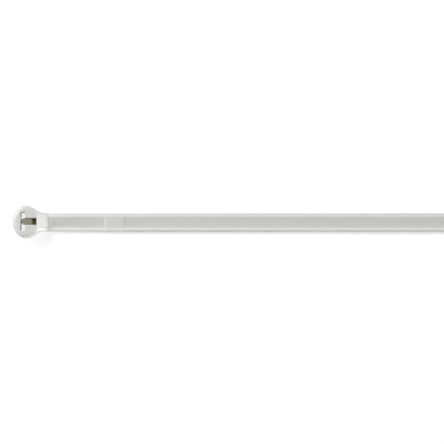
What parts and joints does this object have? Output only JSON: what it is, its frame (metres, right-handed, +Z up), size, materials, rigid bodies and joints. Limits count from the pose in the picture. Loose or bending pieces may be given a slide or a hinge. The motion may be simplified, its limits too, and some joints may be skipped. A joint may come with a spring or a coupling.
{
  "type": "cable tie",
  "caption": "Self-locking nylon cable tie with a round head, a bent steel locking barb in a window above the strap slot, and a flat strap with a shallow channel and a tapered tail.",
  "frame": {"origin": "middle of the strap slot, on the flat underside of the head", "axes": "+X along the strap from head to tail, +Y across the strap, +Z up through the slot, towards the side on which a threaded strap leaves it"},
  "size_m": [0.1859, 0.0082, 0.0038],
  "materials": {
    "nylon": "natural, slightly translucent, satin",
    "barb_steel": "dull, warm grey"
  },
  "bodies": {
    "root": {"head": "nylon", "strap": "nylon", "locking_barb": "barb_steel"}
  },
  "joints": []
}
